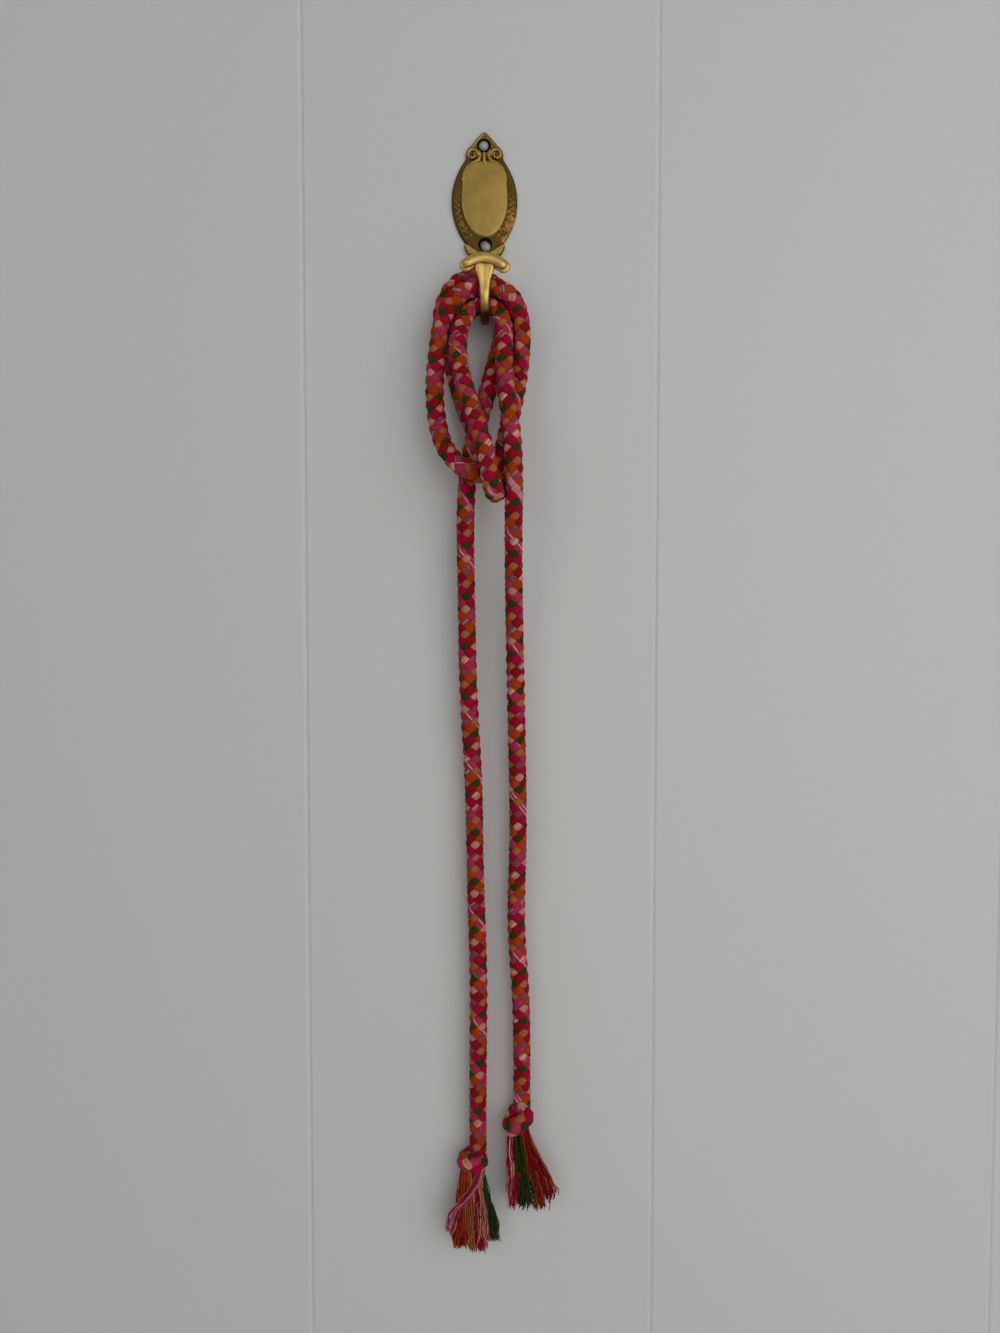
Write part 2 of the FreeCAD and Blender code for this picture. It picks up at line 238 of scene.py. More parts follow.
# The casting, in mm. Its sides are arcs, and an outline is half the width and the height of each corner
PANEL_WIDE = 9.5
PANEL_HIGH = 15.2
PANEL_MIDDLE = -2.3
LENS_RADIUS = 28.3
LENS_HALF_WIDTH = 13.8
LENS_MIDDLE = -3.3
CAP_OUTLINE = ((0.5, 25.3), (1.2, 24.8), (2.3, 23.6), (4.0, 21.8), (5.2, 20.2),
               (6.6, 19.0), (7.5, 17.8), (7.9, 16.4), (7.8, 15.0), (8.1, 13.9))
WING_OUTLINE = ((8.4, -19.9), (7.7, -20.4), (8.5, -21.2), (8.6, -21.7),
                (8.0, -23.4), (6.8, -25.3), (3.2, -26.2), (2.0, -27.0))
WING_FACET = ((1.5, -25.0), (2.6, -23.6), (4.8, -22.3), (7.9, -20.3),
              (8.7, -21.2), (8.2, -23.4), (6.9, -25.6), (3.4, -26.6))
COLLAR = ((2.2, 14.3), (3.3, 13.4), (5.2, 12.6), (7.3, 10.9), (8.6, 8.4), (9.3, 5.4))
THROAT = ((2.3, 17.6), (1.9, 16.2), (1.9, 15.0), (2.6, 13.9))
ARROW = ((0.4, 12.9), (2.7, 12.5), (1.6, 11.2), (0.0, 9.9))
PENDANT = ((-0.1, 16.6), (-0.1, 12.8))
ROSE = (9.3, -12.2)
PLATE_TOP = 25.3
PLATE_FOOT = -27.0
PLATE_STEP = 0.2
PLATE_COLUMNS = 121
NAIL_HOLES = ((-0.2, 19.5), (0.3, -21.0))
RECESS_RADIUS = 2.9
RECESS_DEPTH = 1.1
PILOT_RADIUS = 1.9
CUTTER_FRONT = -6
CUTTER_BACK = 2
BAR_THICK = 2.2
HOOK_INNER = 8.6
HOOK_CENTRE = -45.8
HOOK_MIDDLE = 0.3
STEM_TOP = -24.4
ARM_TOP = -34.5
ARM_OUTLINE = ((1.75, -52.0), (1.85, -49.0), (1.95, -46.5), (2.05, -44.0), (2.35, -42.0), (3.0, -40.0),
               (3.7, -38.2), (4.2, -36.0))
TIP_MIDDLE = (0.35, -33.5)
TIP_REACH = 8.2
TIP_LEAN = 0.3
TIP_DROOP = 3.2
# The tip bar's rim and roll: half height, half depth, Y and how far the ends reach
TIP_RIM = (2.80, 1.05, -20.2, 1.18)
TIP_ROLL = (2.0, 1.5, -21.3, 1.06)

# Each light, in metres: its name, its place, what it faces, its size, its power in watts and its colour
LIGHTS = (
    ("window", (0.62, -0.95, -0.10), (0.15, 0, -0.20), (1.3, 1.3), 6.5, (0.985, 0.99, 1.0)),
    ("room", (-0.9, -1.5, 0.45), (0.1, 0, -0.1), (0.9, 0.9), 3.0, (1.0, 0.985, 0.95)),
)
WORLD_STRENGTH = 0.27
WORLD_BELOW = (0.30, 0.30, 0.31)
WORLD_ABOVE = (1.10, 1.12, 1.18)
CAMERA_PLACE = (6.52 * MM, -430 * MM, -178.3 * MM)
CAMERA_DOWN = 2.7        # degrees below the horizon
CAMERA_LENS = 27.03

# The stage, in metres
STAGE_REACH = 2.5
BOARDS = range(-15, 16)
FLOOR_Z = -0.62
FLOOR_DEPTH = 4.0
WALL_TOP = 2.2
BOARD_WIDTH = 0.150
GROOVE_X = -0.077
GROOVE_HALF = 1.3 * MM
GROOVE_DEPTH = 0.45 * MM


# ---------------------------------------------------------------- materials


def node_tree(name):
    """A new material, its node tree and its Principled shader."""
    material = bpy.data.materials.new(name)
    material.use_nodes = True
    tree = material.node_tree
    return material, tree, tree.nodes["Principled BSDF"]


def add(tree, kind, **inputs):
    """A node of the given kind, with values for its inputs and attributes."""
    node = tree.nodes.new("ShaderNode" + kind)
    for name, value in inputs.items():
        if hasattr(node, name):
            setattr(node, name, value)
        else:
            node.inputs[name.replace("_", " ")].default_value = value
    return node


def math_node(tree, operation, first, second=0.0, clamp=False):
    """The output of a Math node; first and second are sockets or numbers."""
    node = tree.nodes.new("ShaderNodeMath")
    node.operation = operation
    node.use_clamp = clamp
    for socket, value in zip(node.inputs, (first, second)):
        if isinstance(value, (int, float)):
            socket.default_value = value
        else:
            tree.links.new(value, socket)
    return node.outputs[0]


def mix_colours(tree, factor, first, second):
    """The colour output of a Mix node; first and second are sockets or colours."""
    node = tree.nodes.new("ShaderNodeMix")
    node.data_type = "RGBA"
    for socket, value in ((node.inputs[0], factor), (node.inputs[6], first), (node.inputs[7], second)):
        if isinstance(value, (int, float)):
            socket.default_value = value
        elif isinstance(value, tuple):
            socket.default_value = (*value, 1)
        else:
            tree.links.new(value, socket)
    return node.outputs[2]


def ramp(tree, factor, low, high):
    """factor stretched so that low becomes 0 and high becomes 1, clamped."""
    node = tree.nodes.new("ShaderNodeMapRange")
    node.inputs["From Min"].default_value = low
    node.inputs["From Max"].default_value = high
    tree.links.new(factor, node.inputs["Value"])
    return node.outputs["Result"]


def noise(tree, **inputs):
    """A noise texture in the object's own space, as a share from 0 to 1."""
    place = add(tree, "TexCoord")
    texture = add(tree, "TexNoise", **inputs)
    tree.links.new(place.outputs["Object"], texture.inputs["Vector"])
    return texture.outputs["Fac"]


def bump_from(tree, shader, height, strength, distance):
    """Give the shader a bump of that height."""
    bump = add(tree, "Bump", Strength=strength, Distance=distance)
    tree.links.new(height, bump.inputs["Height"])
    tree.links.new(bump.outputs[0], shader.inputs["Normal"])


def scaled(colour, share):
    """The colour, lighter or darker by that share."""
    return tuple(share * c for c in colour)


def yarn_material(name, colour, pale, pale_share, across, lay, shades, single=False):
    """Yarns side by side, `across` of them round the tube, that turn round it by lay yarns a metre.
    U of the UV map is the tube's number plus the share of the way round it, and V runs along it in
    metres. pale_share of the yarns are pale, and the others are the colour times between shades[0] and
    shades[1]. If single, the tube is one yarn and these are its plies."""
    material, tree, shader = node_tree(name)
    uv = add(tree, "UVMap", uv_map="strand")
    split = tree.nodes.new("ShaderNodeSeparateXYZ")
    tree.links.new(uv.outputs[0], split.inputs[0])
    around = math_node(tree, "MULTIPLY", split.outputs[0], across)
    turned = math_node(tree, "ADD", around, math_node(tree, "MULTIPLY", split.outputs[1], lay))
    which = math_node(tree, "FLOOR", split.outputs[0] if single else turned)
    inside = math_node(tree, "FRACT", turned)
    rounded = math_node(tree, "SINE", math_node(tree, "MULTIPLY", inside, math.pi))

    own = add(tree, "TexWhiteNoise", noise_dimensions="1D")
    tree.links.new(which, own.inputs["W"])
    fluff = noise(tree, Scale=900.0, Detail=3.0, Roughness=0.6)
    patch = noise(tree, Scale=70.0, Detail=2.0)

    dark = scaled(colour, 0.74)
    shade = tree.nodes.new("ShaderNodeSeparateColor")
    tree.links.new(own.outputs["Color"], shade.inputs[0])
    own_shade = mix_colours(tree, shade.outputs[1], scaled(colour, shades[0]), scaled(colour, shades[1]))
    base = mix_colours(tree, ramp(tree, patch, 0.3, 0.7), dark, own_shade)
    is_pale = ramp(tree, own.outputs["Value"], 1.0 - pale_share, 1.02 - pale_share)
    base = mix_colours(tree, is_pale, base, pale)
    # painted shade: each yarn darkens towards its edges, in the grooves between the yarns
    groove_shaded = mix_colours(tree, ramp(tree, rounded, 0.0, 0.75), dark, base)
    # painted shade: the yarn darkens where ambient occlusion finds the creases between the strands
    crease = add(tree, "AmbientOcclusion", Distance=1.5 * MM, samples=4, only_local=True)
    crease_shaded = mix_colours(tree, ramp(tree, crease.outputs["AO"], 0.30, 0.95), scaled(colour, 0.24), groove_shaded)
    lit = mix_colours(tree, ramp(tree, fluff, 0.45, 0.8), crease_shaded, pale)
    final = mix_colours(tree, 0.15, crease_shaded, lit)
    tree.links.new(final, shader.inputs["Base Color"])

    height = math_node(tree, "ADD", math_node(tree, "MULTIPLY", rounded, 0.7),
                       math_node(tree, "MULTIPLY", fluff, 0.5))
    bump_from(tree, shader, height, 0.5, 0.14 * MM)
    shader.inputs["Roughness"].default_value = 0.85
    shader.inputs["Sheen Weight"].default_value = 0.04
    shader.inputs["Sheen Roughness"].default_value = 0.4
    shader.inputs["Specular IOR Level"].default_value = 0.10
    return material


def hole_share(tree, x, z, place):
    """1 inside the recess of a nail hole, 0 outside it; x and z are sockets in metres."""
    across = math_node(tree, "SUBTRACT", x, place[0] * MM)
    up = math_node(tree, "SUBTRACT", z, place[1] * MM)
    gap = math_node(tree, "SQRT", math_node(tree, "ADD", math_node(tree, "MULTIPLY", across, across),
                                            math_node(tree, "MULTIPLY", up, up)))
    return ramp(tree, gap, (RECESS_RADIUS + 0.12) * MM, (RECESS_RADIUS - 0.02) * MM)


def brass_material(name, age):
    """Old cast brass. It is brown with patina in the sunk border, and brown as painted shade under the J.
    The hollows are darker, for patina and painted shade, and the nail recesses are near black as painted
    shade. The arm and bar are lighter, for their polish and as painted highlight, and the brass is reddish
    low on the right, for wear and as painted highlight. age is how brown it is everywhere."""
    material, tree, shader = node_tree(name)
    place = add(tree, "TexCoord")
    split = tree.nodes.new("ShaderNodeSeparateXYZ")
    tree.links.new(place.outputs["Object"], split.inputs[0])
    x, y, z = split.outputs
    clouds = noise(tree, Scale=170.0, Detail=5.0, Roughness=0.65)
    grain = noise(tree, Scale=1700.0, Detail=3.0, Roughness=0.6)
    dents = noise(tree, Scale=420.0, Detail=2.0, Roughness=0.5)

    sunk = ramp(tree, y, -1.95 * MM, -1.45 * MM)
    # painted shade: the bottom of the J turns brown, for the shade under it
    below = ramp(tree, z, -50.5 * MM, -54.0 * MM)
    # the share of brown: patina in the sunk border, painted shade under the J, and the given age
    brown_share = math_node(tree, "MAXIMUM", math_node(tree, "MAXIMUM", sunk, below), age)
    brown_share = math_node(tree, "MULTIPLY", brown_share, math_node(tree, "ADD", clouds, 0.42), clamp=True)
    # patina and painted shade: the brass turns dark reddish brown where ambient occlusion finds hollows
    hollow = add(tree, "AmbientOcclusion", Distance=2.2 * MM, samples=8, only_local=True)
    open_sky = ramp(tree, hollow.outputs["AO"], 0.45, 0.98)

    patchy = ramp(tree, clouds, 0.35, 0.7)
    bright = mix_colours(tree, patchy, *BRASS_BRIGHT)
    satin = mix_colours(tree, patchy, *BRASS_SATIN)
    # polish and painted highlight: the arm and bar, standing furthest out, get a lighter copy of the brass
    # than the panel
    clean = mix_colours(tree, ramp(tree, y, -9.0 * MM, -5.0 * MM), bright, satin)
    brown_tone = mix_colours(tree, ramp(tree, clouds, 0.3, 0.65), *BRASS_BROWN)
    metal = mix_colours(tree, brown_share, clean, brown_tone)
    # wear and painted highlight: raised leaves low on the right turn reddish, where reddish highlights fall
    coppery = math_node(tree, "MULTIPLY", ramp(tree, x, 4 * MM, 8 * MM), ramp(tree, z, -3 * MM, -9 * MM))
    coppery = math_node(tree, "MULTIPLY", coppery, ramp(tree, y, -2.1 * MM, -1.6 * MM))
    wear_and_glint = math_node(tree, "MULTIPLY", coppery, ramp(tree, dents, 0.45, 0.65))
    wear_and_glint = math_node(tree, "MULTIPLY", wear_and_glint, ramp(tree, z, -24 * MM, -19 * MM))
    metal = mix_colours(tree, wear_and_glint, metal, COPPER)
    metal = mix_colours(tree, open_sky, BRASS_HOLLOW, metal)
    # painted shade: the recess round each nail is near black
    recess_shade = math_node(tree, "MAXIMUM", hole_share(tree, x, z, NAIL_HOLES[0]),
                         hole_share(tree, x, z, NAIL_HOLES[1]))
    metal = mix_colours(tree, recess_shade, metal, PAINTED_RECESS_SHADE)
    tree.links.new(metal, shader.inputs["Base Color"])

    dull = math_node(tree, "ADD", math_node(tree, "MULTIPLY", brown_share, 0.14),
                     math_node(tree, "MULTIPLY", clouds, 0.24))
    tree.links.new(math_node(tree, "ADD", dull, 0.27), shader.inputs["Roughness"])
    height = math_node(tree, "ADD", math_node(tree, "MULTIPLY", grain, 0.35),
                       math_node(tree, "MULTIPLY", dents, 1.6))
    bump_from(tree, shader, height, 0.35, 0.10 * MM)
    shader.inputs["Metallic"].default_value = 1.0
    return material


def steel_material():
    """Dull zinc-plated steel, for the nails."""
    material, tree, shader = node_tree("nail_steel")
    scuffs = noise(tree, Scale=900.0, Detail=4.0)
    tone = mix_colours(tree, ramp(tree, scuffs, 0.3, 0.7), *STEEL)
    tree.links.new(tone, shader.inputs["Base Color"])
    rough = math_node(tree, "ADD", math_node(tree, "MULTIPLY", scuffs, 0.25), 0.45)
    tree.links.new(rough, shader.inputs["Roughness"])
    bump_from(tree, shader, scuffs, 0.2, 0.05 * MM)
    shader.inputs["Metallic"].default_value = 0.55
    return material


# ---------------------------------------------------------------- meshes


def link(name, mesh):
    """A new object in the scene with that data."""
    obj = bpy.data.objects.new(name, mesh)
    scene.collection.objects.link(obj)
    return obj


def tube_mesh(name, tubes, materials):
    """One mesh of closed tubes. A tube is (rings, lengths, material index): rings of points, and how
    far along each ring is, which becomes V of the UV map. U is the tube's number plus the share of the
    way round it."""
    points, faces, slots, uvs = [], [], [], []
    for number, (rings, lengths, slot) in enumerate(tubes):
        base = len(points)
        count, sides = rings.shape[:2]
        points.extend(rings.reshape(-1, 3))
        for i in range(count - 1):
            for j in range(sides):
                k = (j + 1) % sides
                low, high = base + i * sides, base + (i + 1) * sides
                faces.append((low + j, low + k, high + k, high + j))
                u, v = number + j / sides, number + (j + 1) / sides
                uvs.extend(((u, lengths[i]), (v, lengths[i]), (v, lengths[i + 1]), (u, lengths[i + 1])))
                slots.append(slot)
        for row, order in ((0, -1), (count - 1, 1)):
            faces.append(tuple(base + row * sides + j for j in range(sides))[::order])
            uvs.extend([(number + 0.5, lengths[row])] * sides)
            slots.append(slot)
    mesh = bpy.data.meshes.new(name)
    mesh.from_pydata(points, [], faces)
    layer = mesh.uv_layers.new(name="strand")
    layer.data.foreach_set("uv", np.array(uvs, np.float32).ravel())
    mesh.polygons.foreach_set("material_index", slots)
    mesh.polygons.foreach_set("use_smooth", [True] * len(faces))
    for material in materials:
        mesh.materials.append(material)
    mesh.update()
    return mesh


def unit(vectors):
    """The vectors, each made one long."""
    return vectors / np.linalg.norm(vectors, axis=-1, keepdims=True)


def spline_line(points):
    """The smooth line that the control points pull towards them, as an array."""
    data = bpy.data.curves.new("line", "CURVE")
    data.dimensions = "3D"
    data.resolution_u = SPLINE_STEPS
    spline = data.splines.new("NURBS")
    spline.points.add(len(points) - 1)
    for control, place in zip(spline.points, points):
        control.co = (*place, 1)
    spline.order_u = 3
    spline.use_endpoint_u = True
    obj = link("line", data)
    mesh = bpy.data.meshes.new_from_object(obj)
    line = np.array([vertex.co for vertex in mesh.vertices])
    bpy.data.objects.remove(obj)
    bpy.data.meshes.remove(mesh)
    return line


def resample(line, step):
    """The line at even steps, and the distance along it of each point."""
    gaps = np.linalg.norm(np.diff(line, axis=0), axis=1)
    along = np.concatenate([[0], np.cumsum(gaps)])
    at = np.linspace(0, along[-1], int(round(along[-1] / step)) + 1)
    return np.column_stack([np.interp(at, along, line[:, k]) for k in range(3)]), at


def frames(line, first):
    """Tangent, normal and side of each point, turning as little as possible along the line."""
    tangents = unit(np.gradient(line, axis=0))
    normals = np.zeros_like(line)
    normal = np.array(first, float)
    for i, tangent in enumerate(tangents):
        normal = normal - tangent * (normal @ tangent)
        normal = normal / np.linalg.norm(normal)
        normals[i] = normal
    return tangents, normals, np.cross(tangents, normals)


def braid_tubes(line, at, diameter, lead, turn=0.0):
    """Eight strands braided one over, one under, round a line. lead is a strand's full turn."""
    tangents, normals, sides = frames(line, (1, 0, 0))
    phase = np.concatenate([[0], np.cumsum(np.diff(at) * FULL_TURN / ((lead[1:] + lead[:-1]) / 2))])
    column = turn + COLUMN_TWIST * FULL_TURN * at
    beta = np.linspace(0, FULL_TURN, STRAND_SIDES, endpoint=False) - FULL_TURN / 4
    tubes = []
    for hand, names in ((-1, LEFT_HANDED), (1, RIGHT_HANDED)):
        for k, name in enumerate(names):
            angle = hand * phase - hand * k * FULL_TURN / 4
            weave = -hand * np.cos(4 * angle)
            reach = diameter * (STRAND_MIDDLE + STRAND_RISE * weave)
            outward = (np.cos(angle + column)[:, None] * normals + np.sin(angle + column)[:, None] * sides)
            centre = line + reach[:, None] * outward
            along = unit(np.gradient(centre, axis=0))
            up = unit(outward - along * np.sum(outward * along, axis=1, keepdims=True))
            across = np.cross(along, up)
            wide = diameter * STRAND_SIZES[hand][0] * (1 + 0.08 * weave)
            thick = diameter * STRAND_SIZES[hand][1]
            rings = (centre[:, None, :]
                     + wide[:, None, None] * np.cos(beta)[None, :, None] * across[:, None, :]
                     + thick * np.sin(beta)[None, :, None] * up[:, None, :])
            run = np.concatenate([[0], np.cumsum(np.linalg.norm(np.diff(centre, axis=0), axis=1))])
            tubes.append((rings, run, list(YARN_COLOURS).index(name)))
    return tubes


# ---------------------------------------------------------------- cord and knots


def hitch_share(at):
    """1 in the hitch, where the braid is bent and its lead shorter, and 0 in the tails."""
    rise = np.clip((at - HITCH_START) / HITCH_EASE, 0, 1)
    fall = np.clip((HITCH_END - at) / HITCH_EASE, 0, 1)
    return np.minimum(rise, fall)


def cord_piece(materials):
    """The braid from knot to knot, its centre line and its length."""
    line, at = resample(spline_line(ROUTE), CORD_STEP)
    lead = TAIL_LEAD + (HITCH_LEAD - TAIL_LEAD) * hitch_share(at)
    mesh = tube_mesh("cord_braid", braid_tubes(line, at, CORD_DIAMETER, lead, CORD_TURN), materials)
    return link("cord_braid", mesh), line, at[-1]


def knot_piece(name, middle, turns, diameter, start, materials):
    """The cord's own end, wound once round itself: turns are points about the knot's middle, in mm."""
    points = [tuple(m + MM * t for m, t in zip(middle, turn)) for turn in turns]
    line, at = resample(spline_line(points), KNOT_STEP)
    lead = np.full(len(at), KNOT_LEAD)
    return link(name, tube_mesh(name, braid_tubes(line, at, diameter, lead, start), materials))


# ---------------------------------------------------------------- tassels


def curve_through(points, count):
    """A Bezier curve of four points, as an array of count points."""
    t = np.linspace(0, 1, count)[:, None]
    a, b, c, d = (np.array(p, float) for p in points)
    return (1 - t)**3 * a + 3 * (1 - t)**2 * t * b + 3 * (1 - t) * t**2 * c + t**3 * d


def yarn_tube(line, radius):
    """A round yarn along a line, tapered at its cut end, as a tube for tube_mesh."""
    tangents, normals, sides = frames(line, (0.3, 1, 0.1))
    angles = np.linspace(0, FULL_TURN, YARN_SIDES, endpoint=False)
    taper = np.ones(len(line))
    taper[-2:] = (0.95, 0.7)
    rings = (line[:, None, :]
             + (radius * taper)[:, None, None] * (np.cos(angles)[None, :, None] * normals[:, None, :]
                                                  + np.sin(angles)[None, :, None] * sides[:, None, :]))
    run = np.concatenate([[0], np.cumsum(np.linalg.norm(np.diff(line, axis=0), axis=1))])
    return rings, run, 0


def wander(rng, swing):
    """A yarn's sideways waves along its length: none at the top, and about swing at the end."""
    t = np.linspace(0, 1, YARN_POINTS)
    total = np.zeros(YARN_POINTS)
    for waves in (0.8, 1.9, 3.7, 6.5):
        phase, size = rng.uniform(0, FULL_TURN), rng.uniform(0.4, 1.0) * swing / waves**0.6
        total += size * t**0.8 * np.sin(FULL_TURN * waves * t + phase)
    return total


def yarn_bundle(name, start, finish, width, depth, count, material, rng):
    """A strand's loose end: count wavy yarns that fan out from start to a patch round finish. Every
    CLUMP of them hang together."""
    tubes = []
    for number in range(count):
        if number % CLUMP == 0:
            angle, out = rng.uniform(0, FULL_TURN), math.sqrt(rng.uniform(0, 1))
            middle = (out * math.cos(angle), out * math.sin(angle))
            shared = (wander(rng, CLUMP_SWING[0]), wander(rng, CLUMP_SWING[1]))
            level = rng.uniform(-0.0010, 0.0012)
        across = middle[0] + rng.gauss(0, CLUMP_SPREAD)
        back = middle[1] + rng.gauss(0, CLUMP_SPREAD)
        top = Vector(start) + Vector((across * STRAND_TOP, back * STRAND_TOP, YARN_TUCK))
        fall_short = level + rng.uniform(-0.0008, 0.0010)
        foot = Vector(finish) + Vector((across * width, back * depth, fall_short))
        fall = top.z - foot.z
        first = top + Vector((across * YARN_BULGE[0], back * YARN_BULGE[1], -FIRST_PULL * fall))
        last = foot + Vector((rng.uniform(-1, 1) * YARN_BULGE[0], 0, LAST_PULL * fall))
        line = curve_through((top, first, last, foot), YARN_POINTS)
        for axis in (0, 1):
            line[:, axis] += shared[axis] + wander(rng, YARN_SWING)
        line[:, 1] = np.minimum(line[:, 1], -WALL_GAP)
        tubes.append(yarn_tube(line, YARN_RADIUS * rng.uniform(0.80, 1.15)))
    return link(name, tube_mesh(name, tubes, [material]))


# ---------------------------------------------------------------- brass hook


def smooth_step(values, low, high):
    """0 below low, 1 above high, and eased between them."""
    t = np.clip((values - low) / (high - low), 0, 1)
    return t * t * (3 - 2 * t)


def plate_half_width(z):
    """Half the width of the plate and its wings at height z, in mm."""
    lens = LENS_HALF_WIDTH - LENS_RADIUS + np.sqrt(np.maximum(LENS_RADIUS**2 - (z - LENS_MIDDLE)**2, 0))
    cap = np.interp(z, [p[1] for p in CAP_OUTLINE][::-1], [p[0] for p in CAP_OUTLINE][::-1])
    wing = np.interp(z, [p[1] for p in WING_OUTLINE][::-1], [p[0] for p in WING_OUTLINE][::-1])
    return np.where(z > CAP_OUTLINE[-1][1], cap, np.where(z < WING_OUTLINE[0][1], wing, lens))


def distance_to(x, z, points):
    """Distance from each (x, z) to the line through the points, and how far along it, from 0 to 1."""
    best, where = np.full(x.shape, 1e9), np.zeros(x.shape)
    parts = len(points) - 1
    for i, ((ax, az), (bx, bz)) in enumerate(zip(points, points[1:])):
        dx, dz = bx - ax, bz - az
        t = np.clip(((x - ax) * dx + (z - az) * dz) / (dx * dx + dz * dz), 0, 1)
        gap = np.hypot(x - ax - t * dx, z - az - t * dz)
        nearer = gap < best
        best = np.where(nearer, gap, best)
        where = np.where(nearer, (i + t) / parts, where)
    return best, where


def stroke(x, z, points, widths, height):
    """A rounded ridge drawn along the points, from widths[0] to widths[1] wide."""
    gap, where = distance_to(x, z, points)
    width = widths[0] + (widths[1] - widths[0]) * where
    return height * np.sqrt(np.clip(1 - (gap / width)**2, 0, 1))


def leaf(x, z, middle, angle, half_length, half_width, height):
    """A small domed leaf."""
    dx, dz = x - middle[0], z - middle[1]
    along = (dx * math.cos(angle) + dz * math.sin(angle)) / half_length
    side = (dz * math.cos(angle) - dx * math.sin(angle)) / half_width
    return height * np.sqrt(np.clip(1 - along**2 - side**2, 0, 1))


def plateau(x, z, corners, height, bevel):
    """A flat-topped polygon with bevelled edges; its corners run round it in order."""
    inside = np.zeros(x.shape, bool)
    ring = list(corners) + [corners[0]]
    for (ax, az), (bx, bz) in zip(ring, ring[1:]):
        if az != bz:
            crosses = ((az > z) != (bz > z)) & (x < ax + (z - az) * (bx - ax) / (bz - az))
            inside ^= crosses
    gap, _ = distance_to(x, z, ring)
    return height * np.where(inside, smooth_step(gap, -0.2 * bevel, bevel), 0)


def scroll(side):
    """The spiral of one C-scroll of the cap, from beside the hole over the top and round inside."""
    turns = np.linspace(0, 1, 26)
    angle = np.radians(5 + 400 * turns)
    reach = 2.15 - 1.25 * turns**1.4
    return [(side * (5.0 - r * math.cos(a)), 16.0 + r * math.sin(a)) for a, r in zip(angle, reach)]


def panel_oval(x, z):
    """Below 1 inside the raised panel. The panel is an ellipse below, and squarer above."""
    up = (z - PANEL_MIDDLE) / PANEL_HIGH
    power = 2 + 1.6 * smooth_step(up, 0.0, 1.0)
    return (np.abs(x / PANEL_WIDE)**power + np.abs(up)**power)**(1 / power)


def vine(x, z, side):
    """Leaves and a rosette in the border beside the panel."""
    total = np.zeros(x.shape)
    for i in range(19):
        height = 4.5 - 1.2 * i
        up = (height - PANEL_MIDDLE) / PANEL_HIGH
        inner = PANEL_WIDE * math.sqrt(max(0, 1 - up * up)) + 0.7
        outer = float(plate_half_width(np.array(height))) - 1.2
        middle, reach = (inner + outer) / 2, 0.3 * (outer - inner)
        size = 0.55 + 0.45 * float(smooth_step(float(i), 2.0, 9.0))
        turn = 1 if i % 2 else -1
        for offset, lean, long in ((reach, 0.8, 1.0), (-reach, 2.2, 0.9), (0.1, 1.5, 0.6)):
            place = (side * (middle + turn * offset), height + 0.5 * offset)
            blade = leaf(x, z, place, side * lean, 1.15 * size * long, 0.42 * size, 0.52 * size)
            total = np.maximum(total, blade)
    for k in range(6):
        turn = FULL_TURN * k / 6
        petal = (side * (ROSE[0] + 0.95 * math.cos(turn)), ROSE[1] + 0.95 * math.sin(turn))
        total = np.maximum(total, leaf(x, z, petal, turn if side > 0 else -turn, 0.72, 0.48, 0.62))
    return np.maximum(total, leaf(x, z, (side * ROSE[0], ROSE[1]), 0, 0.45, 0.45, 0.75))


def plate_height(x, z, outline):
    """How far the plate's front stands out from the wall, in mm."""
    edge, _ = distance_to(x, z, outline)
    bead = 0.26 * np.exp(-((edge - 0.70) / 0.45)**2)
    band = 1.25 + 0.16 * smooth_step(edge, 1.0, 5.0) + bead
    height = band + 0.35 * smooth_step(z, 13.5, 16.0)
    oval = panel_oval(x, z)
    on_band = smooth_step(edge, 0.7, 1.5) * (1 - smooth_step(1.10 - oval, -0.02, 0.03)) * (z < 7) * (z > -19)
    height = height + on_band * (vine(x, z, 1) + vine(x, z, -1))
    on_panel = smooth_step(1.085 - oval, 0.0, 0.115)
    height = height * (1 - on_panel) + (2.12 + 0.22 * np.clip(1 - oval**2, 0, 1)) * on_panel
    for side in (-1, 1):
        ornament = stroke(x, z, scroll(side), (0.95, 0.55), 0.85)
        for points, widths, rise in ((COLLAR, (0.85, 0.50), 0.58), (THROAT, (0.7, 0.6), 0.6),
                                     (ARROW, (0.62, 0.5), 0.62)):
            ridge = stroke(x, z, [(side * a, b) for a, b in points], widths, rise)
            ornament = np.maximum(ornament, ridge)
        height = np.maximum(height, 1.5 + ornament * (ornament > 0))
        facet = plateau(x, z, [(side * a, b) for a, b in WING_FACET], 1.0, 0.5)
        height = np.maximum(height, 1.3 + facet)
    stem = stroke(x, z, PENDANT, (0.8, 0.95), 1.15)
    height = np.where(stem > 0, np.maximum(height, 1.45 + stem), height)
    round_off = np.sqrt(1 - (1 - np.clip(edge / 0.75, 0, 1))**2)
    return 0.55 + (height - 0.55) * round_off


